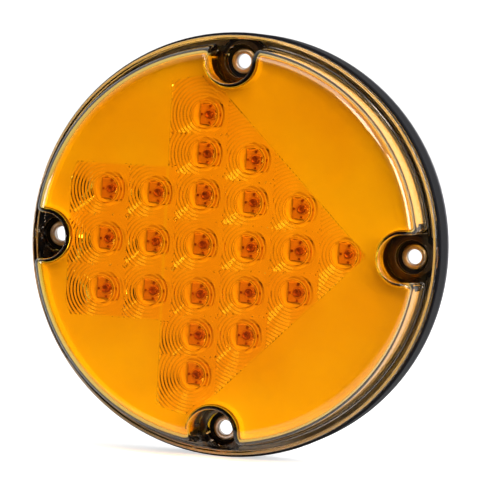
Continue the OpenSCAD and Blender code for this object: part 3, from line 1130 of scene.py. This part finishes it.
def plated(name, base, dark, brush, rough, grain=(1.0, 1.0, 1.0)):
    """Plated metal with drawn or turned marks and slight staining."""
    f = new_finish(name)
    marks = f.noise(brush, 3.0, 0.6, f.stretched(grain))
    stain = f.noise(180.0, 4.0, 0.6)
    shade = f.blend(stain.ramp(0.35, 0.75), base, dark)
    return f.surface(shade, rough + marks * 0.14, marks * 0.00003, 0.6,
                     {"Metallic": 1.0 - stain.ramp(0.7, 0.9) * 0.3})


def eyelet_metal(eyelet):
    metal = tuple(eyelet.metal)
    return plated("eyelet_metal", metal, tuple(c * 0.8 for c in metal), 900.0, 0.3)


def package(name, base, speck, rough, scale=3000.0):
    """Filled moulding compound of electronic parts."""
    f = new_finish(name)
    fill = f.noise(scale, 2.0, 0.7)
    patch = f.noise(300.0, 3.0)
    shade = f.blend(fill.ramp(0.55, 0.8), base, speck)
    return f.surface(shade, rough + patch * 0.2, fill * 0.00004, 0.7)


def diode_epoxy(diode):
    """Tinted epoxy of the diode's body, with painted shade that darkens it towards its foot."""
    f = new_finish("led_epoxy")
    _, y, _ = f.axes()
    low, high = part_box(LED_NODES[0])
    base = tuple(diode.epoxy)
    # deep is a darker copy of the epoxy colour: painted shade for the foot, where the body sits
    # down in the reflector
    deep = tuple(c * 0.55 for c in base)
    cloud = f.noise(700.0, 3.0, 0.6)
    # 0 at the body's foot and 1 near its front, so the painted shade lies along the foot
    rise = y.ramp(high.y, low.y + 0.002)
    shade = f.blend((rise * 0.7 + cloud * 0.4).least(1.0), deep, base)
    return f.surface(shade, 0.18 + cloud * 0.12, cloud * 0.00006, 0.5,
                     {"Coat Weight": 0.3 + cloud * 0.2, "Coat Roughness": 0.08})


def diode_metal(diode):
    metal = tuple(diode.metal)
    return plated("led_frame_metal", metal, tuple(c * 0.6 for c in metal), 2400.0, 0.35)


def clear_dome():
    """Water-clear epoxy of the dome."""
    f = new_finish("led_dome_clear")
    cloud = f.noise(900.0, 2.0)
    tint = f.blend(cloud, (0.93, 0.78, 0.7), (0.97, 0.86, 0.8))
    return f.clear(tint, 0.03 + cloud * 0.03, cloud * 0.00003, 0.4, 1.52, (0.97, 0.9, 0.86))


def finish_frame_nodes():
    """Gives every CAD node that stays in view its own finish."""
    black = moulded_black()
    chip = package("chip_black", (0.014, 0.014, 0.016), (0.045, 0.045, 0.05), 0.5)
    nylon = package("socket_nylon", (0.012, 0.012, 0.014), (0.03, 0.03, 0.034), 0.42, 1500.0)
    tin = plated("terminal_metal", (0.74, 0.71, 0.64), (0.55, 0.51, 0.44), 500.0, 0.22,
                 (1.0, 0.06, 1.0))
    seal = rubber()
    finishes = {
        "housing": black, "rear_gasket": foam(), "lens_seal": silicone(),
        "collar_seals": seal, "connector_seal": seal,
        "circuit_board": white_mask(),
        "board_screws": plated("screw_steel", (0.6, 0.61, 0.63), (0.42, 0.43, 0.45), 700.0, 0.25),
        "led_leads": plated("tinned_leads", (0.72, 0.73, 0.74), (0.5, 0.51, 0.52), 1500.0, 0.28,
                            (1.0, 0.1, 1.0)),
        "resistors": chip, "polarity_diode": chip, "surge_diode": chip, "regulator": chip,
        "smoothing_capacitor": plated("capacitor_can", (0.67, 0.68, 0.7), (0.5, 0.51, 0.53),
                                      300.0, 0.3, (0.2, 3.0, 0.2)),
        "connector_socket": nylon, "breather_vent": nylon,
        "terminal_supply": tin, "terminal_ground": tin,
    }
    for name, finish in finishes.items():
        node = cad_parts[name]
        if not node.material_slots:
            node.data.materials.append(finish)
        for slot in node.material_slots:
            slot.material = finish


# ---------------------------------------------------------------- stage

def soft_light(name, place, size, power):
    """A rectangular soft light that points at the lamp."""
    data = bpy.data.lights.new(name, "AREA")
    data.shape = "RECTANGLE"
    data.size, data.size_y = size
    data.energy = power
    light = new_object(name, data)
    light.location = place
    light.rotation_euler = (-Vector(place)).to_track_quat("-Z", "Y").to_euler()


def build_camera(stage):
    """The camera at its place, turned and rolled."""
    az, el, roll = stage.azimuth, stage.elevation, stage.roll
    back = Vector((sin(az) * cos(el), -cos(az) * cos(el), sin(el)))
    right = (-back).cross(Vector((0, 0, 1))).normalized()
    up = right.cross(-back).normalized()
    side = right * cos(roll) + up * sin(roll)
    top = up * cos(roll) - right * sin(roll)
    spot = Vector((-0.00004, 0.0, 0.00063)) + back * stage.distance
    data = bpy.data.cameras.new("camera")
    data.lens = stage.lens
    data.sensor_width = 36.0
    data.clip_start = 0.05
    data.clip_end = 50.0
    camera = new_object("camera", data)
    turned = Matrix((side, top, back)).transposed().to_4x4()
    camera.matrix_world = Matrix.Translation(spot) @ turned
    bpy.context.scene.camera = camera


def build_floor(stage):
    """A pale floor under the lamp's lowest edge."""
    level = CAD_BOX[0][2] - 0.0001
    mesh = bpy.data.meshes.new("floor")
    mesh.from_pydata([(-4, -4, level), (4, -4, level), (4, 4, level), (-4, 4, level)], [],
                     [(0, 1, 2, 3)])
    floor = new_object("floor", mesh)
    f = new_finish("floor_paper")
    fibre = f.noise(160.0, 4.0, 0.6)
    base = tuple(stage.floor)
    shade = f.blend(fibre, base, tuple(min(1.0, c * 1.03) for c in base))
    paper = f.principled(shade, 0.9, fibre * 0.0001, 0.5,
                         {"Emission Color": (1.0, 1.0, 1.0), "Emission Strength": 0.6})
    dark = f.node("ShaderNodeBsdfDiffuse", None, {"Color": (0.03, 0.03, 0.03)}).outputs[0]
    _, y, _ = f.axes()
    unseen = 1.0 - f.ray("Is Camera Ray")
    ahead = 1.0 - y.ramp(-0.12, -0.03)
    f.output(f.mix(unseen * ahead.most(0.5), paper, dark))
    mesh.materials.append(f.owner)


def build_world():
    """White surroundings, dark straight in front so that the lens face keeps its colour."""
    world = bpy.data.worlds.new("studio")
    bpy.context.scene.world = world
    f = Finish(world)
    way = f.node("ShaderNodeTexCoord")
    parts = f.node("ShaderNodeSeparateXYZ", None, {0: way.outputs["Generated"]})
    ahead = Value(f, parts.outputs[1])
    high = Value(f, parts.outputs[2])
    glow = ahead.ramp(-0.9, -0.35) * 0.95 + high.ramp(0.25, 0.9) * 0.35
    shade = f.blend(glow.least(1.0), (0.02, 0.02, 0.022), (1.0, 1.0, 1.0))
    seen = f.node("ShaderNodeBackground", None, {"Color": (1.0, 1.0, 1.0), "Strength": 1.05})
    lit = f.node("ShaderNodeBackground", None, {"Color": shade, "Strength": 0.7})
    f.output(f.mix(f.ray("Is Camera Ray"), lit.outputs[0], seen.outputs[0]),
             "ShaderNodeOutputWorld")


# ---------------------------------------------------------------- operators and panel

class LAMP_OT_lens(bpy.types.Operator):
    """Builds the moulded amber lens with its ring optics"""
    bl_idname = "lamp.lens"
    bl_label = "Lens"

    def execute(self, context):
        lens = context.scene.lamp_lens
        piece = build_lens(lens)
        piece.data.materials.append(amber_lens(lens))
        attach(piece, "root")
        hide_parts("lens")
        return {"FINISHED"}


class LAMP_OT_diodes(bpy.types.Operator):
    """Builds the bodies, frames and domes of the diodes"""
    bl_idname = "lamp.diodes"
    bl_label = "Diodes"

    def execute(self, context):
        bodies, frames, domes = build_diodes(context.scene.lamp_diode)
        for piece in (bodies, frames, domes):
            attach(piece, "root")
        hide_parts(*LED_NODES)
        return {"FINISHED"}


class LAMP_OT_bed(bpy.types.Operator):
    """Builds the bed of sealant under the lens flange"""
    bl_idname = "lamp.bed"
    bl_label = "Sealant Bed"

    def execute(self, context):
        piece = build_bed(context.scene.lamp_lens)
        piece.data.materials.append(silicone())
        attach(piece, "root")
        return {"FINISHED"}


class LAMP_OT_reflector(bpy.types.Operator):
    """Builds the white reflector around the diodes"""
    bl_idname = "lamp.reflector"
    bl_label = "Reflector"

    def execute(self, context):
        scene = context.scene
        piece = build_reflector(scene.lamp_reflector, scene.lamp_diode)
        piece.data.materials.append(satin_white())
        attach(piece, "root")
        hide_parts("reflector_plate")
        return {"FINISHED"}


class LAMP_OT_eyelets(bpy.types.Operator):
    """Builds the four rolled eyelets"""
    bl_idname = "lamp.eyelets"
    bl_label = "Eyelets"

    def execute(self, context):
        piece = build_eyelets(context.scene.lamp_eyelet)
        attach(piece, "root")
        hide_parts(*EYELET_NODES)
        return {"FINISHED"}


class LAMP_OT_finishes(bpy.types.Operator):
    """Gives the housing, gasket, seals, board and connector their finishes"""
    bl_idname = "lamp.finishes"
    bl_label = "Finishes"

    def execute(self, context):
        finish_frame_nodes()
        return {"FINISHED"}


class LAMP_OT_stage(bpy.types.Operator):
    """Sets up the floor, the surroundings, the lights and the camera"""
    bl_idname = "lamp.stage"
    bl_label = "Stage"

    def execute(self, context):
        stage = context.scene.lamp_stage
        build_camera(stage)
        build_floor(stage)
        build_world()
        soft_light("key", (0.25, -0.75, 1.35), (1.1, 0.6), stage.key)
        soft_light("front", (0.7, -0.85, 0.95), (0.5, 0.4), stage.front)
        soft_light("right_strip", (1.1, -0.4, 0.4), (0.36, 0.7), stage.strip)
        soft_light("left_strip", (-1.1, -0.5, -0.05), (0.35, 0.5), stage.strip * 0.5)
        context.scene.view_settings.view_transform = "Standard"
        return {"FINISHED"}


OPERATORS = [LAMP_OT_lens, LAMP_OT_bed, LAMP_OT_diodes, LAMP_OT_reflector, LAMP_OT_eyelets,
             LAMP_OT_finishes, LAMP_OT_stage]
SETTINGS = {"lamp_lens": LampLensSettings, "lamp_diode": LampDiodeSettings,
            "lamp_reflector": LampReflectorSettings, "lamp_eyelet": LampEyeletSettings,
            "lamp_stage": LampStageSettings}


class LAMP_PT_panel(bpy.types.Panel):
    """Lists the lamp's pieces and their sizes"""
    bl_idname = "LAMP_PT_panel"
    bl_label = "Arrow Direction Lamp"
    bl_space_type = "VIEW_3D"
    bl_region_type = "UI"
    bl_category = "Lamp"

    def draw(self, context):
        for operator in OPERATORS:
            self.layout.operator(operator.bl_idname)
        for name, group in SETTINGS.items():
            box = self.layout.box()
            box.label(text=group.__doc__)
            for field in group.__annotations__:
                box.prop(getattr(context.scene, name), field)


def register():
    for group in SETTINGS.values():
        bpy.utils.register_class(group)
    for name, group in SETTINGS.items():
        setattr(bpy.types.Scene, name, PointerProperty(type=group))
    for operator in OPERATORS:
        bpy.utils.register_class(operator)
    bpy.utils.register_class(LAMP_PT_panel)


def unregister():
    bpy.utils.unregister_class(LAMP_PT_panel)
    for operator in reversed(OPERATORS):
        bpy.utils.unregister_class(operator)
    for name, group in SETTINGS.items():
        delattr(bpy.types.Scene, name)
        bpy.utils.unregister_class(group)


def main():
    register()
    bpy.ops.lamp.lens()
    bpy.ops.lamp.bed()
    bpy.ops.lamp.diodes()
    bpy.ops.lamp.reflector()
    bpy.ops.lamp.eyelets()
    bpy.ops.lamp.finishes()
    bpy.ops.lamp.stage()


if __name__ == "__main__":
    main()
